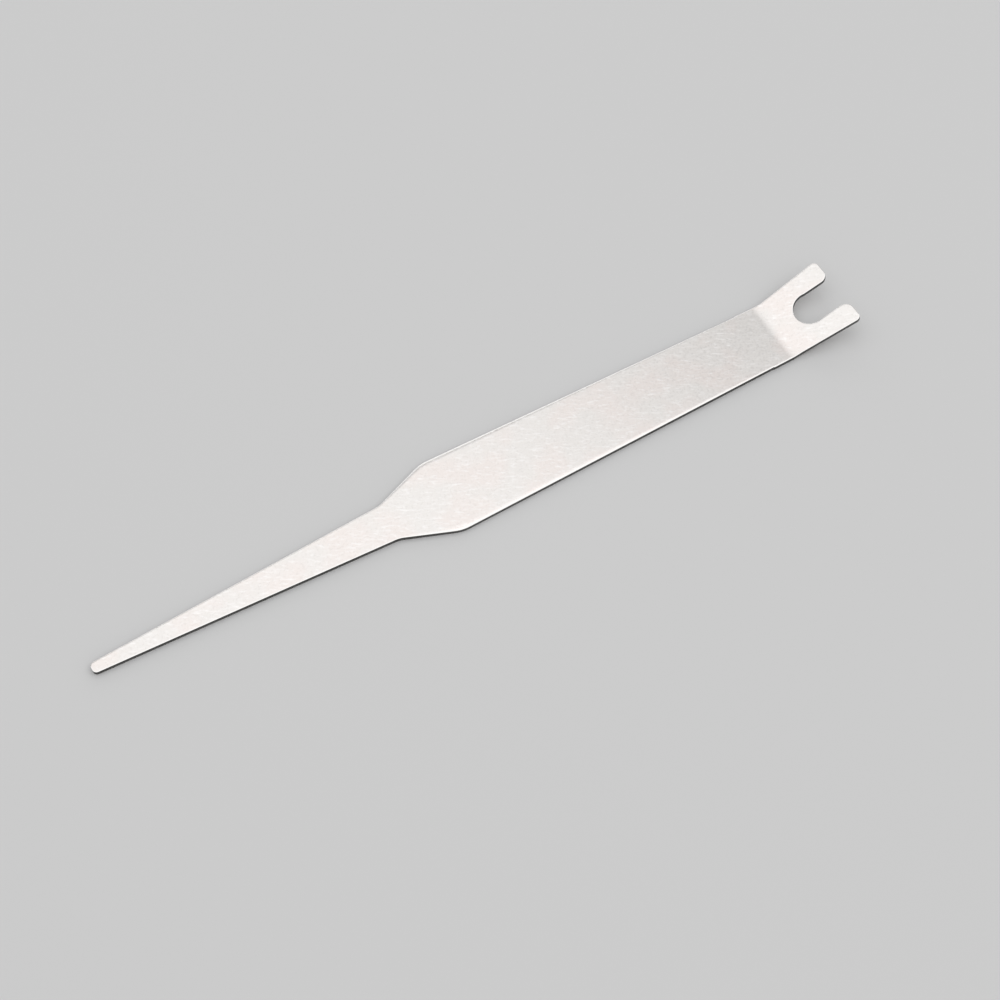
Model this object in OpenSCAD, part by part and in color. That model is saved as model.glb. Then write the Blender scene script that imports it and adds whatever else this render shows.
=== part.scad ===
// A prying tool for spring clips, stamped from one flat piece of steel sheet and folded once:
// a slim blunt nose, a tapering shank and a forked end that is bent up.
// It lies on the underside of its shank. X runs from the nose to the fork and Z is up.
// The origin is the middle of the footprint's length and width, on the underside.

/* [Sheet] */
// Thickness of the sheet
sheet_t = 1; // [0.8:0.1:1.5]
// Radius that tumbling has worn on every edge of the sheet
edge_r = 0.15; // [0.05:0.05:0.3]

/* [Nose] */
// Length of the nose, from its tip to the neck
nose_len = 54.5; // [40:0.5:70]
// Width of the nose at its tip
tip_w = 2; // [1.8:0.1:3]
// Corner radius at the tip
tip_r = 0.8; // [0.4:0.1:0.8]
// Width of the nose at the neck
neck_w = 7.2; // [5:0.1:9]
// Radius in the hollow of the neck
neck_r = 5; // [1:0.5:10]

/* [Shank] */
// Length of the slope from the neck out to the shoulder
shoulder_len = 10; // [7:0.5:14]
// Width of the shank at the shoulder, where the lines of its edges meet
shoulder_w = 15; // [13:0.5:18]
// Radius that rounds the shoulder
shoulder_r = 7; // [1:0.5:10]
// Length of the shank, from the shoulder to the bend
shank_len = 67.8; // [50:0.1:90]
// Width of the sheet at the bend
waist_w = 12.6; // [11:0.1:14.5]
// How far each edge steps out where the second cut of the press begins
cut_step = 0.1; // [0.05:0.05:0.3]
// Distance from that step to the bend
cut_lead = 3.5; // [2:0.5:8]

/* [Fork] */
// Angle by which the fork is bent up
bend_angle = 17.5; // [8:0.5:30]
// Inside radius of the bend
bend_r = 8; // [3:0.5:12]
// Length of the flat fork, from the bend to the prong ends
fork_len = 12.3; // [11:0.1:18]
// Width of the fork across its prong ends, where the lines of their edges meet
fork_w = 14.5; // [13:0.1:17]
// Radius of a prong's outer corner
outer_r = 1; // [0.4:0.1:1.4]
// Radius of a prong's inner corner
inner_r = 1.6; // [0.6:0.1:2]

/* [Slot] */
// Width of the slot between the prongs
slot_w = 6; // [5:0.1:7]
// Depth of the slot, from the prong ends to its round end
slot_depth = 9.2; // [6:0.1:10.5]
// How much wider the slot's round end is than the slot
slot_relief = 0.2; // [0.1:0.1:1]

/* [Hidden] */
steel = [0.84, 0.83, 0.81];

// Turn from one facet to the next: round the outline's arcs, along the bend and over a worn edge
arc_step = 6;
bend_step = 1.5;
edge_step = 30;
// How far the cut of the slot runs past the sheet, above and below it
overrun = 1;

// The developed blank is drawn flat, along the sheet's middle layer, from the nose's tip at x = 0
neck_x = nose_len;
shoulder_x = neck_x + shoulder_len;
bend_x = shoulder_x + shank_len;
bend_len = (bend_r + sheet_t / 2) * bend_angle * PI / 180;
bend_end_x = bend_x + bend_len;
prong_x = bend_end_x + fork_len;
slot_x = prong_x - slot_depth;
slot_end_r = (slot_w + slot_relief) / 2;

// Corners of the blank's outline on one side, from the tip to the prong
tip = [0, tip_w / 2];
neck = [neck_x, neck_w / 2];
shoulder = [shoulder_x, shoulder_w / 2];
bend_start = [bend_x, waist_w / 2];
bend_end = [bend_end_x, waist_w / 2];
prong = [prong_x, fork_w / 2];
prong_inner = [prong_x, slot_w / 2];

// The edge of the shank runs up to the step along one line, and on from it along a parallel one
first_cut_end = bend_start - [0, cut_step];
shank_slope = unit(first_cut_end - shoulder);
step_foot = first_cut_end - shank_slope * cut_lead;
step_top = bend_start - shank_slope * (cut_lead - cut_step);

function unit(v) = v / norm(v);
function mirrored(p) = [p.x, -p.y];
function turned(v, angle) = [v.x * cos(angle) - v.y * sin(angle), v.x * sin(angle) + v.y * cos(angle)];

// Points of the arc of radius r that rounds the corner b, between the lines from a and to c
function corner(a, b, c, r) =
  let (
    back = unit(a - b),
    ahead = unit(c - b),
    half = acos(back * ahead) / 2,
    centre = b + unit(back + ahead) * r / sin(half),
    start = b + back * r / tan(half) - centre,
    sweep = sign(cross(ahead, back)) * (180 - 2 * half),
    steps = ceil(abs(sweep) / arc_step)
  )
  [for (k = [0 : steps]) centre + turned(start, sweep * k / steps)];

// One side of the blank, from the tip to the prong end. Along the bend it has a point for each facet.
blank_side = concat(
  corner(mirrored(tip), tip, neck, tip_r),
  corner(tip, neck, shoulder, neck_r),
  corner(neck, shoulder, step_foot, shoulder_r),
  [step_foot, step_top],
  let (steps = ceil(bend_angle / bend_step))
    [for (k = [0 : steps]) bend_start + (bend_end - bend_start) * k / steps],
  corner(bend_end, prong, mirrored(prong), outer_r)
);

// One side of the slot: its round end, its straight wall and the prong's inner corner,
// whose last facet runs on past the prong end
slot_side =
  let (
    centre = [slot_x + slot_end_r, 0],
    meets_wall = asin(slot_w / (2 * slot_end_r)),
    steps = ceil((180 - meets_wall) / arc_step),
    mouth = corner([slot_x, slot_w / 2], prong_inner, prong, inner_r),
    last = len(mouth) - 2
  )
  concat(
    [
      for (k = [0 : steps])
        centre + turned([-slot_end_r, 0], -(180 - meets_wall) * (k + 0.5) / (steps + 0.5))
    ],
    [for (k = [0 : last]) mouth[k]],
    [mouth[last] + unit(mouth[last] - mouth[last - 1]) * fork_w]
  );

// The worn edge between the underside and the rim, as levels: a height in the sheet, with how far
// the outline is drawn in there
worn_edge = [for (angle = [0 : edge_step : 90]) edge_r * [1 - cos(angle), 1 - sin(angle)]];

// The same levels for a cut: its outline opens out at the faces. Its first facet runs on a little
// past the face, and from there the cut goes straight out of the sheet.
worn_rim = [for (level = worn_edge) [level[0], -level[1]]];
past_face = 2 * worn_rim[0] - worn_rim[1];
cut_edge = concat([[-overrun, past_face[1]], past_face], [for (k = [1 : len(worn_rim) - 1]) worn_rim[k]]);

// Levels from the underside to the upper face, alike on both
function both_faces(levels) =
  concat(levels, [for (k = [len(levels) - 1 : -1 : 0]) [sheet_t - levels[k][0], levels[k][1]]]);

// Where a point of the blank comes to lie once the fork is bent up, at height h in the sheet
function folded(p, h) =
  let (
    angle = bend_angle * min(1, max(0, (p.x - bend_x) / bend_len)),
    r = bend_r + sheet_t - h,
    before = min(0, p.x - bend_x),
    past = max(0, p.x - bend_end_x)
  )
  [
    bend_x + before + r * sin(angle) + past * cos(angle),
    p.y,
    bend_r + sheet_t - r * cos(angle) + past * sin(angle)
  ];

// A closed outline drawn in by d, with mitred corners. It runs clockwise, so its inside is on the right.
function drawn_in(loop, d) =
  let (n = len(loop))
  [
    for (i = [0 : n - 1])
      let (
        into = unit(loop[i] - loop[(i + n - 1) % n]),
        away = unit(loop[(i + 1) % n] - loop[i]),
        mitre = [into.y + away.y, -into.x - away.x] / (1 + into * away)
      )
      loop[i] + mitre * d
  ];

// A solid through the sheet, folded with it, from its outline on one side of the middle and its levels
module folded_plate(side, levels) {
  n = len(side);
  loop = concat(side, [for (i = [n - 1 : -1 : 0]) mirrored(side[i])]);
  m = 2 * n;
  top = (len(levels) - 1) * m;
  walls = [
    for (k = [0 : len(levels) - 2], i = [0 : m - 1])
      let (j = (i + 1) % m) [k * m + i, k * m + j, (k + 1) * m + j, (k + 1) * m + i]
  ];
  underside = [for (i = [0 : n - 2]) [i, m - 1 - i, m - 2 - i, i + 1]];
  upper_side = [for (i = [0 : n - 2]) [top + i, top + i + 1, top + m - 2 - i, top + m - 1 - i]];
  polyhedron(
    [for (level = levels) each [for (p = drawn_in(loop, level[1])) folded(p, level[0])]],
    concat(walls, underside, upper_side)
  );
}

// The stamped and folded sheet, with all its edges worn round
module removal_tool() {
  overall_len = max([for (level = worn_edge) folded(prong - [level[1], 0], level[0]).x]);
  color(steel)
    translate([-overall_len / 2, 0, 0])
      difference() {
        folded_plate(blank_side, both_faces(worn_edge));
        folded_plate(slot_side, both_faces(cut_edge));
      }
}

removal_tool();
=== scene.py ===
"""A folded steel prying tool for spring clips, in satin stainless sheet, lying on a plain pale floor."""

import math

import bpy
from mathutils import Matrix, Vector


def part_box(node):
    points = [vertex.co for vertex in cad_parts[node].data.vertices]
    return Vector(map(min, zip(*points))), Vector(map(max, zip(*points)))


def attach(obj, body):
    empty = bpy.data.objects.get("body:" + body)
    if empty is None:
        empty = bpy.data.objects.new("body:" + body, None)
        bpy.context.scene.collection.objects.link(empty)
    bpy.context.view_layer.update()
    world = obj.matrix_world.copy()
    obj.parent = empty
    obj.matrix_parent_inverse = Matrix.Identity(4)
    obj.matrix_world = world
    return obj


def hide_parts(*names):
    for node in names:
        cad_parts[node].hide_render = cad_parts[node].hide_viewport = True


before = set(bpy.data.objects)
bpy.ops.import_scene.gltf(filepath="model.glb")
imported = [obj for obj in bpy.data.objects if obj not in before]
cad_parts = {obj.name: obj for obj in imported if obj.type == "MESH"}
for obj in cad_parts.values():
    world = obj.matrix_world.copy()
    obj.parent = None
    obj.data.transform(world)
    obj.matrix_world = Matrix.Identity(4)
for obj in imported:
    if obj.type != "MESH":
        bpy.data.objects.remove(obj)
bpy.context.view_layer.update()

MM = 0.001

# Camera: the point it looks at, its direction and distance from there and its roll, in metres and degrees,
# its lens in millimetres, and the nearest and farthest distance that it sees
AIM = Vector((-0.53, -5.63, 1.0)) * MM
AZIMUTH = -31.8
ELEVATION = 59.52
DISTANCE = 322.3 * MM
ROLL = 1.61
LENS = 68.4
CLIP = (0.01, 20)

# Light: the radiance of a plain white room and of the softboxes in it, and each softbox's middle and size,
# in metres
ROOM = 0.52
SOFTBOX = 0.64
KEY_BOX = ((-0.15, -0.02, 0.6), (0.9, 1.16))
SIDE_BOX = ((0.7, -0.2, 0.6), (0.8, 0.8))
BACK_BOX = ((0.326, 0.621, 0.26), (0.9, 0.28))

# The floor, in metres, and the distances from the tool's middle between which it fades into a backdrop like
# the room
FLOOR_SIZE = 6.0
FLOOR_COLOUR = (0.66, 0.66, 0.66, 1)
FLOOR_ROUGH = 0.8
FADE = (0.25, 0.8)

# The sheet, in millimetres
SHEET_T = 1.0
NOSE_LEN = 54.5
TIP_W = 2.0
TIP_R = 0.8
NECK_W = 7.2
NECK_R = 5.0
SHOULDER_LEN = 10.0
SHOULDER_W = 15.0
SHOULDER_R = 7.0
SHANK_LEN = 67.8
WAIST_W = 12.6
CUT_STEP = 0.1
CUT_LEAD = 3.5
BEND_ANGLE = math.radians(17.5)
BEND_R = 8.0
FORK_LEN = 12.3
FORK_W = 14.5
OUTER_R = 1.0
INNER_R = 1.6
SLOT_W = 6.0
SLOT_DEPTH = 9.2
SLOT_END_R = 3.1

# Its edges: how far the punch has rolled the upper face over, inwards and down, and the radii that
# tumbling has worn there and below. The upper edge has only a share of that along the nose and along the
# second cut, which runs round the fork, and from the neck to the shoulder it grows to the whole.
ROLL_RUN = 0.9
ROLL_DROP = 0.18
UPPER_R = 0.12
LOWER_R = 0.17
NOSE_WEAR = 0.3
CUT_WEAR = 0.3

# Finish of the faces, with sizes in millimetres. Each layer of scuffs has a direction on the sheet, in
# degrees, and a weight. A pair for a noise says at which value something starts to show and at which it
# shows in full.
FACE_WARM = (0.858, 0.802, 0.773, 1)
FACE_COOL = (0.84, 0.813, 0.789, 1)
FACE_ROUGH = 0.33
ROUGH_VARIES = 0.03
TINT_SIZE = 7.0
TINT_DETAIL = 1.0
TINT_NOISE = (0.35, 0.6)
SCUFFS = ((-32, 1.0), (-12, 0.5), (58, 0.3))
SCUFF_NOISE = (0.5, 0.76)
SCUFF_COLOUR = (0.97, 0.95, 0.94, 1)
SCUFF_SHARE = 0.62
SCUFF_LEN = 1.5
SCUFF_W = 0.45
GRAIN_SIZE = 0.45
GRAIN_DETAIL = 3.0
GRAIN_NOISE = (0.5, 0.35)
GRAIN_COLOUR = (0, 0, 0, 1)
GRAIN_SHARE = 0.07
GRAIN_RELIEF = 0.5
FINENESS = 0.6
RELIEF = 0.007 * MM

# Finish of the worn edges: lighter and smoother, from the first to the second of these shares of a right
# angle by which the surface has turned. Their lighter colour is partly wear and partly a painted highlight
# that brightens the glint line along each edge.
WORN_GLINT_TURN = (0.11, 0.22)
WORN_GLINT_COLOUR = (0.915, 0.9, 0.885, 1)
WORN_GLOSS = 0.12

# Finish of the sheared rims, with sizes in millimetres: burnished above a height in the sheet and torn
# below it, with a ragged border and upright streaks. It takes over between two such shares. Their colours
# are darker than sheared steel is: partly its own tone, partly painted shade, a dark reflection painted in.
RIM_TURN = (0.55, 0.95)
RIM_ROUGH = 0.45
TORN_TO = 0.62
TORN_BLUR = 0.06
TORN_RAGGED = 0.08
TORN_DARK_WITH_SHADE = (0.07, 0.068, 0.067, 1)
TORN_LIGHT_WITH_SHADE = (0.2, 0.196, 0.192, 1)
BURNISHED_WITH_SHADE = (0.1, 0.098, 0.096, 1)
STREAK_W = 0.08
STREAK_NOISE = (0.35, 0.65)
STREAK_RELIEF = 0.3

# The range of values that a noise mostly stays in
NOISE_RANGE = (0.3, 0.7)

# Smoothness of the mesh
ARC_STEP = math.radians(3)
BEND_STEPS = 35
EDGE_STEPS = 6

# The developed blank, along the sheet's middle layer, from the nose's tip at x = 0
NECK_X = NOSE_LEN
SHOULDER_X = NECK_X + SHOULDER_LEN
BEND_X = SHOULDER_X + SHANK_LEN
BEND_LEN = (BEND_R + SHEET_T / 2) * BEND_ANGLE
BEND_END_X = BEND_X + BEND_LEN
PRONG_X = BEND_END_X + FORK_LEN
SLOT_X = PRONG_X - SLOT_DEPTH


def mirrored(p):
    """The same point on the other side of the tool's middle line."""
    return Vector((p.x, -p.y))


def corner(a, b, c, r):
    """Points of the arc of radius r that rounds the corner b, between the lines from a and to c."""
    back, ahead = (a - b).normalized(), (c - b).normalized()
    half = math.acos(back @ ahead) / 2
    centre = b + (back + ahead).normalized() * (r / math.sin(half))
    start = b + back * (r / math.tan(half)) - centre
    sweep = math.copysign(math.pi - 2 * half, ahead.x * back.y - ahead.y * back.x)
    steps = math.ceil(abs(sweep) / ARC_STEP)
    return [centre + Matrix.Rotation(sweep * k / steps, 2) @ start for k in range(steps + 1)]


def blank_side():
    """One side of the blank's outline, from the tip round the prong to the slot's round end, and the
    index of its point where the bend begins."""
    tip = Vector((0, TIP_W / 2))
    neck = Vector((NECK_X, NECK_W / 2))
    shoulder = Vector((SHOULDER_X, SHOULDER_W / 2))
    bend_start = Vector((BEND_X, WAIST_W / 2))
    bend_end = Vector((BEND_END_X, WAIST_W / 2))
    prong = Vector((PRONG_X, FORK_W / 2))
    prong_inner = Vector((PRONG_X, SLOT_W / 2))
    first_cut_end = bend_start - Vector((0, CUT_STEP))
    shank_slope = (first_cut_end - shoulder).normalized()
    step_foot = first_cut_end - shank_slope * CUT_LEAD
    step_top = bend_start - shank_slope * (CUT_LEAD - CUT_STEP)
    side = corner(mirrored(tip), tip, neck, TIP_R)
    side += corner(tip, neck, shoulder, NECK_R)
    side += corner(neck, shoulder, step_foot, SHOULDER_R)
    side += [step_foot, step_top]
    bend_at = len(side)
    side += [bend_start.lerp(bend_end, k / BEND_STEPS) for k in range(BEND_STEPS + 1)]
    side += corner(bend_end, prong, prong_inner, OUTER_R)
    side += corner(prong, prong_inner, Vector((SLOT_X, SLOT_W / 2)), INNER_R)
    meets_wall = math.asin(SLOT_W / 2 / SLOT_END_R)
    steps = math.ceil((math.pi - meets_wall) / ARC_STEP)
    for k in range(steps):
        angle = meets_wall + (math.pi - meets_wall) * (k + 0.5) / steps
        side.append(Vector((SLOT_X + SLOT_END_R * (1 + math.cos(angle)), SLOT_END_R * math.sin(angle))))
    return side, bend_at


def edge_levels():
    """Levels from the underside's worn edge up to the upper face. Each is the height of the face next to it,
    how far the surface lies from that face and how far it is drawn in, the angle by which it has turned
    outwards, and which way that face looks."""
    levels = []
    for k in range(EDGE_STEPS + 1):
        turn = math.pi / 2 * k / EDGE_STEPS
        levels.append((0.0, LOWER_R * (1 - math.cos(turn)), LOWER_R * (1 - math.sin(turn)), turn, -1))
    rolled = math.atan(2 * ROLL_DROP / ROLL_RUN)
    for k in range(EDGE_STEPS, 0, -1):
        turn = rolled + (math.pi / 2 - rolled) * k / EDGE_STEPS
        drop = ROLL_DROP + UPPER_R * (math.cos(rolled) - math.cos(turn))
        levels.append((SHEET_T, drop, UPPER_R * (1 - math.sin(turn)), turn, 1))
    for k in range(EDGE_STEPS, -1, -1):
        share = k / EDGE_STEPS
        drawn = UPPER_R * (1 - math.sin(rolled)) + ROLL_RUN * (1 - share)
        levels.append((SHEET_T, ROLL_DROP * share ** 2, drawn, math.atan(math.tan(rolled) * share), 1))
    return levels


def wear(x):
    """How far the upper edge is rolled over and worn there, as a share."""
    if x > BEND_X - CUT_LEAD:
        return CUT_WEAR
    return NOSE_WEAR + (1 - NOSE_WEAR) * min(1, max(0, x - NECK_X) / SHOULDER_LEN)


def folded(p, height):
    """Where a point of the blank comes to lie once the fork is bent up, and the bend's turn there."""
    turn = BEND_ANGLE * min(1, max(0, (p.x - BEND_X) / BEND_LEN))
    r = BEND_R + SHEET_T - height
    past = max(0, p.x - BEND_END_X)
    x = BEND_X + min(0, p.x - BEND_X) + r * math.sin(turn) + past * math.cos(turn)
    z = BEND_R + SHEET_T - r * math.cos(turn) + past * math.sin(turn)
    return Vector((x, p.y, z)), turn


def outward(loop):
    """At each point of a closed outline that runs clockwise, the mitre that moves it 1 mm outwards."""
    mitres = []
    for before, here, after in zip(loop[-1:] + loop[:-1], loop, loop[1:] + loop[:1]):
        into, away = (here - before).normalized(), (after - here).normalized()
        mitres.append(Vector((-into.y - away.y, into.x + away.x)) / (1 + into @ away))
    return mitres


def sheet_faces(m, levels, bend_at):
    """Faces between levels of m points each: quads round the rim and across the bend, and one polygon for
    each flat face."""
    faces = [
        (k * m + i, (k + 1) * m + i, (k + 1) * m + (i + 1) % m, k * m + (i + 1) % m)
        for k in range(levels - 1)
        for i in range(m)
    ]
    bend_end_at = bend_at + BEND_STEPS
    shank = list(range(bend_at + 1)) + list(range(m - 1 - bend_at, m))
    fork = list(range(bend_end_at, m - bend_end_at))
    strips = [(i, i + 1, m - 2 - i, m - 1 - i) for i in range(bend_at, bend_end_at)]
    for first, order in ((0, 1), ((levels - 1) * m, -1)):
        faces += [tuple(first + i for i in flat_face)[::order] for flat_face in [shank, fork, *strips]]
    return faces


def tool_mesh():
    """The folded sheet. Each point also keeps its place on the blank, its way along the outline with its
    height, and how far it faces outwards, as a share of a right angle."""
    side, bend_at = blank_side()
    loop = side + [mirrored(p) for p in reversed(side)]
    mitres = outward(loop)
    levels = edge_levels()
    shift = Vector((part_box("removal_tool")[0].x / MM, 0, 0))
    run = [0.0]
    for a, b in zip(loop, loop[1:]):
        run.append(run[-1] + (b - a).length)
    points, normals, sheet, travel, rim = [], [], [], [], []
    for base, drop, drawn, turn, face in levels:
        for p, mitre, along in zip(loop, mitres, run):
            share = wear(p.x) if face > 0 else 1
            height = base - face * drop * share
            flat = p - mitre * drawn * share
            place, bend = folded(flat, height)
            points.append((place + shift) * MM)
            out = mitre.normalized() * math.sin(turn)
            normal = Vector((out.x, out.y, face * math.cos(turn)))
            normals.append(Matrix.Rotation(-bend, 3, "Y") @ normal)
            sheet.append((flat.x, flat.y, height))
            travel.append((along, height, 0))
            rim.append(turn / (math.pi / 2))
    mesh = bpy.data.meshes.new("removal_tool_sheet")
    mesh.from_pydata(points, [], sheet_faces(len(loop), len(levels), bend_at))
    mesh.shade_smooth()
    mesh.normals_split_custom_set_from_vertices(normals)
    for name, vectors in (("sheet", sheet), ("travel", travel)):
        stored = mesh.attributes.new(name, "FLOAT_VECTOR", "POINT")
        stored.data.foreach_set("vector", [x for vector in vectors for x in vector])
    mesh.attributes.new("rim", "FLOAT", "POINT").data.foreach_set("value", rim)
    return mesh


def new_material(name):
    """A material with an empty node tree."""
    material = bpy.data.materials.new(name)
    material.use_nodes = True
    material.node_tree.nodes.clear()
    return material


def linked(tree, kind, inputs=(), **settings):
    """A new node with its settings made and its inputs set, each to a value or another node's socket."""
    node = tree.nodes.new(kind)
    for key, value in settings.items():
        setattr(node, key, value)
    for key, value in dict(inputs).items():
        if isinstance(value, bpy.types.NodeSocket):
            tree.links.new(value, node.inputs[key])
        else:
            node.inputs[key].default_value = value
    return node


def attribute(tree, name, output):
    """What the mesh's points hold under this name."""
    return linked(tree, "ShaderNodeAttribute", attribute_name=name).outputs[output]


def noise(tree, where, size, detail=2.0, fineness=0.5):
    """Noise with features of about this size, in the units of where."""
    inputs = {"Vector": where, "Scale": 1 / size, "Detail": detail, "Roughness": fineness}
    return linked(tree, "ShaderNodeTexNoise", inputs).outputs["Fac"]


def ramp(tree, value, low, high, to_low=0.0, to_high=1.0):
    """value, taken from the range low to high into the range to_low to to_high, smoothly and clamped."""
    inputs = {"Value": value, "From Min": low, "From Max": high, "To Min": to_low, "To Max": to_high}
    return linked(tree, "ShaderNodeMapRange", inputs, interpolation_type="SMOOTHSTEP").outputs["Result"]


def maths(tree, operation, a, b):
    """The result of one sum, product or like operation on a and b."""
    return linked(tree, "ShaderNodeMath", {0: a, 1: b}, operation=operation).outputs[0]


def mixed(tree, share, a, b):
    """The colour a where share is 0, and b where it is 1."""
    inputs = {"Factor": share, "A": a, "B": b}
    return linked(tree, "ShaderNodeMix", inputs, data_type="RGBA").outputs["Result"]


def strokes(tree, sheet, angle):
    """Thin short strokes in one direction, from 0 between them to 1 on the strongest."""
    stretch = (SCUFF_LEN / SCUFF_W, 1, 1)
    inputs = {"Vector": sheet, "Rotation": (0, 0, math.radians(angle)), "Scale": stretch}
    turned = linked(tree, "ShaderNodeMapping", inputs, vector_type="TEXTURE").outputs["Vector"]
    return ramp(tree, noise(tree, turned, SCUFF_W, fineness=FINENESS), *SCUFF_NOISE)


def scuff_layers(tree, sheet):
    """Short scuffs that mostly run one way: the sum of all their layers."""
    scuffs = 0.0
    for angle, weight in SCUFFS:
        layer = maths(tree, "MULTIPLY", strokes(tree, sheet, angle), weight)
        scuffs = maths(tree, "ADD", layer, scuffs)
    return scuffs


def upright_streaks(tree, travel):
    """Noise that runs up and down the rim, drawn out to the sheet's thickness."""
    inputs = {"Vector": travel, "Scale": (1, STREAK_W / SHEET_T, 1)}
    upright = linked(tree, "ShaderNodeMapping", inputs).outputs["Vector"]
    return noise(tree, upright, STREAK_W)


def face_colour(tree, sheet, grain, scuffs):
    """A faint drift of tint, with a fine darker grain and lighter scuffs over it."""
    drift = ramp(tree, noise(tree, sheet, TINT_SIZE, TINT_DETAIL), *TINT_NOISE)
    tinted = mixed(tree, drift, FACE_WARM, FACE_COOL)
    grained = mixed(tree, ramp(tree, grain, *GRAIN_NOISE, 0, GRAIN_SHARE), tinted, GRAIN_COLOUR)
    return mixed(tree, maths(tree, "MULTIPLY", scuffs, SCUFF_SHARE), grained, SCUFF_COLOUR)


def rim_colour_with_shade(tree, travel, streaks):
    """Burnished near the upper face, and torn and streaked below, all darkened by painted shade."""
    height = linked(tree, "ShaderNodeSeparateXYZ", {"Vector": travel}).outputs["Y"]
    ragged = maths(tree, "ADD", height, ramp(tree, streaks, *NOISE_RANGE, -TORN_RAGGED, TORN_RAGGED))
    burnish = ramp(tree, ragged, TORN_TO - TORN_BLUR, TORN_TO + TORN_BLUR)
    torn_with_shade = mixed(tree, ramp(tree, streaks, *STREAK_NOISE), TORN_DARK_WITH_SHADE, TORN_LIGHT_WITH_SHADE)
    return mixed(tree, burnish, torn_with_shade, BURNISHED_WITH_SHADE)


def steel_material():
    """Satin stainless sheet: tumbled faces with faint short scuffs, brighter worn edges with a painted
    highlight, and sheared rims darkened by painted shade.
    """
    material = new_material("satin_stainless")
    tree = material.node_tree
    sheet = attribute(tree, "sheet", "Vector")
    travel = attribute(tree, "travel", "Vector")
    rim = attribute(tree, "rim", "Fac")
    worn_glint = ramp(tree, rim, *WORN_GLINT_TURN)
    on_rim = ramp(tree, rim, *RIM_TURN)
    grain = noise(tree, sheet, GRAIN_SIZE, GRAIN_DETAIL, FINENESS)
    scuffs = scuff_layers(tree, sheet)
    streaks = upright_streaks(tree, travel)
    # Colour, with a painted highlight on the worn edges and painted shade on the rims
    face = mixed(tree, worn_glint, face_colour(tree, sheet, grain, scuffs), WORN_GLINT_COLOUR)
    colour = mixed(tree, on_rim, face, rim_colour_with_shade(tree, travel, streaks))
    # Roughness: satin faces, smoother worn edges, and rims that are rougher than both
    satin = ramp(tree, grain, *NOISE_RANGE, FACE_ROUGH - ROUGH_VARIES, FACE_ROUGH + ROUGH_VARIES)
    smooth = maths(tree, "SUBTRACT", satin, maths(tree, "MULTIPLY", worn_glint, WORN_GLOSS))
    rough = linked(tree, "ShaderNodeMix", {"Factor": on_rim, "A": smooth, "B": RIM_ROUGH})
    # Relief of the grain, of the scuffs and, on the rims, of the streaks
    face_relief = maths(tree, "ADD", maths(tree, "MULTIPLY", grain, GRAIN_RELIEF), scuffs)
    rim_relief = maths(tree, "MULTIPLY", maths(tree, "MULTIPLY", streaks, on_rim), STREAK_RELIEF)
    relief = maths(tree, "ADD", face_relief, rim_relief)
    bump = linked(tree, "ShaderNodeBump", {"Height": relief, "Distance": RELIEF, "Strength": 1.0})
    inputs = {
        "Metallic": 1.0,
        "Base Color": colour,
        "Roughness": rough.outputs["Result"],
        "Normal": bump.outputs["Normal"],
    }
    bsdf = linked(tree, "ShaderNodeBsdfPrincipled", inputs)
    linked(tree, "ShaderNodeOutputMaterial", {"Surface": bsdf.outputs["BSDF"]})
    return material


def make_camera():
    azimuth, elevation = math.radians(AZIMUTH), math.radians(ELEVATION)
    level = Vector((math.sin(azimuth), -math.cos(azimuth), 0))
    back = level * math.cos(elevation) + Vector((0, 0, math.sin(elevation)))
    data = bpy.data.cameras.new("camera")
    data.lens = LENS
    data.clip_start, data.clip_end = CLIP
    camera = bpy.data.objects.new("camera", data)
    camera.location = AIM + back * DISTANCE
    camera.rotation_mode = "QUATERNION"
    roll = Matrix.Rotation(math.radians(ROLL), 3, "Z").to_quaternion()
    camera.rotation_quaternion = (-back).to_track_quat("-Z", "Y") @ roll
    bpy.context.collection.objects.link(camera)
    bpy.context.scene.camera = camera


def make_tool():
    tool = bpy.data.objects.new("removal_tool_steel", tool_mesh())
    bpy.context.collection.objects.link(tool)
    tool.data.materials.append(steel_material())
    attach(tool, "root")
    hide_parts("removal_tool")


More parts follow.
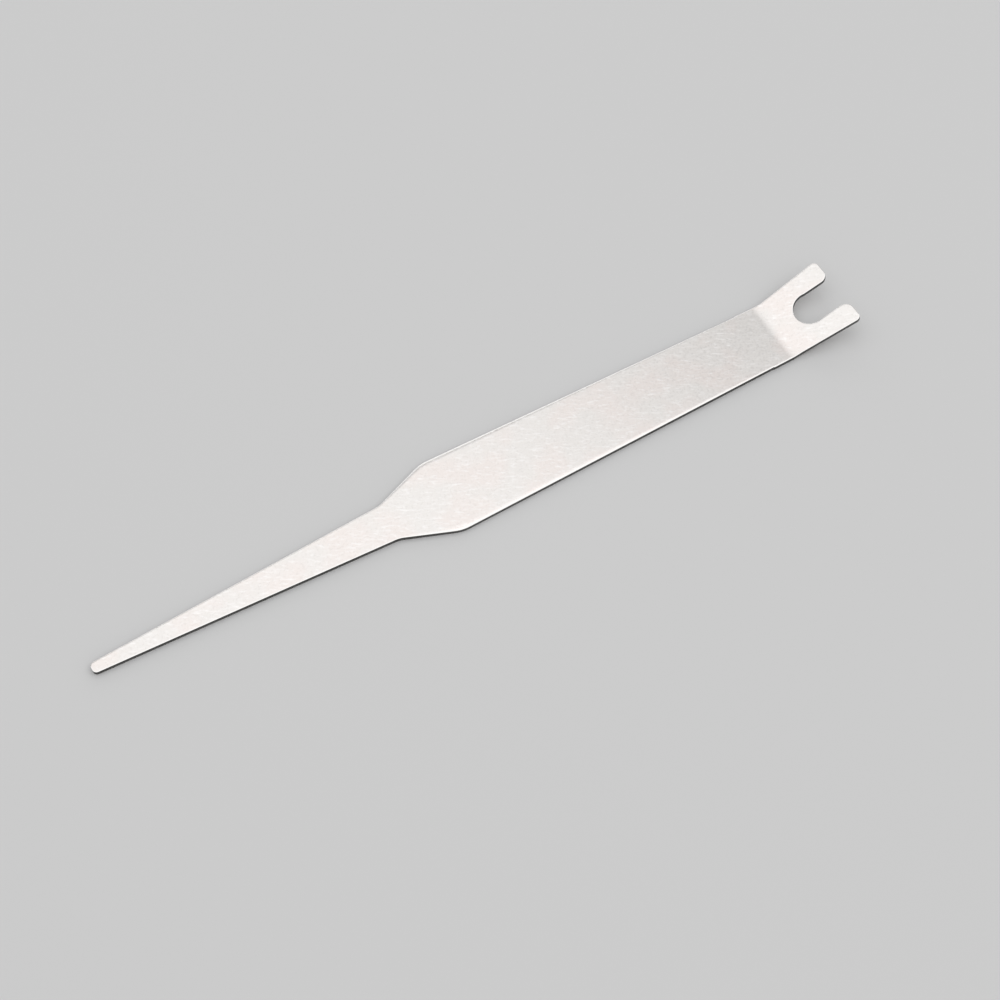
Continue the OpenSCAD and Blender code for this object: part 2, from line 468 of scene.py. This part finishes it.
def floor_material():
    """Pale and matt, and from some distance on seen as bright as the room, so that no horizon shows."""
    material = new_material("pale_floor")
    tree = material.node_tree
    bsdf = linked(tree, "ShaderNodeBsdfPrincipled", {"Base Color": FLOOR_COLOUR, "Roughness": FLOOR_ROUGH})
    backdrop = linked(tree, "ShaderNodeEmission", {"Strength": ROOM})
    place = linked(tree, "ShaderNodeNewGeometry").outputs["Position"]
    distance = linked(tree, "ShaderNodeVectorMath", {0: place}, operation="LENGTH").outputs["Value"]
    path = linked(tree, "ShaderNodeLightPath").outputs
    seen = maths(tree, "MAXIMUM", path["Is Camera Ray"], path["Is Glossy Ray"])
    share = maths(tree, "MULTIPLY", ramp(tree, distance, *FADE), seen)
    inputs = {0: share, 1: bsdf.outputs["BSDF"], 2: backdrop.outputs["Emission"]}
    surface = linked(tree, "ShaderNodeMixShader", inputs)
    linked(tree, "ShaderNodeOutputMaterial", {"Surface": surface.outputs["Shader"]})
    return material


def make_floor():
    mesh = bpy.data.meshes.new("floor")
    half = FLOOR_SIZE / 2
    corners = [(-half, -half, 0), (half, -half, 0), (half, half, 0), (-half, half, 0)]
    mesh.from_pydata(corners, [], [(0, 1, 2, 3)])
    floor = bpy.data.objects.new("floor", mesh)
    bpy.context.collection.objects.link(floor)
    mesh.materials.append(floor_material())


def softbox(name, box, target=None):
    """A rectangular lamp of even radiance. It faces straight down, or the target."""
    at, size = box
    light = bpy.data.lights.new(name, "AREA")
    light.shape = "RECTANGLE"
    light.size, light.size_y = size
    light.energy = SOFTBOX * math.pi * size[0] * size[1]
    lamp = bpy.data.objects.new(name, light)
    lamp.location = at
    if target:
        lamp.rotation_euler = (target - lamp.location).to_track_quat("-Z", "Y").to_euler()
    lamp.visible_camera = False
    bpy.context.collection.objects.link(lamp)


def make_light():
    world = bpy.data.worlds.new("studio")
    world.use_nodes = True
    background = world.node_tree.nodes["Background"]
    background.inputs["Color"].default_value = (1, 1, 1, 1)
    background.inputs["Strength"].default_value = ROOM
    bpy.context.scene.world = world
    softbox("key", KEY_BOX)
    softbox("side", SIDE_BOX)
    softbox("back", BACK_BOX, AIM)
    bpy.context.scene.view_settings.view_transform = "Standard"


make_camera()
make_tool()
make_floor()
make_light()
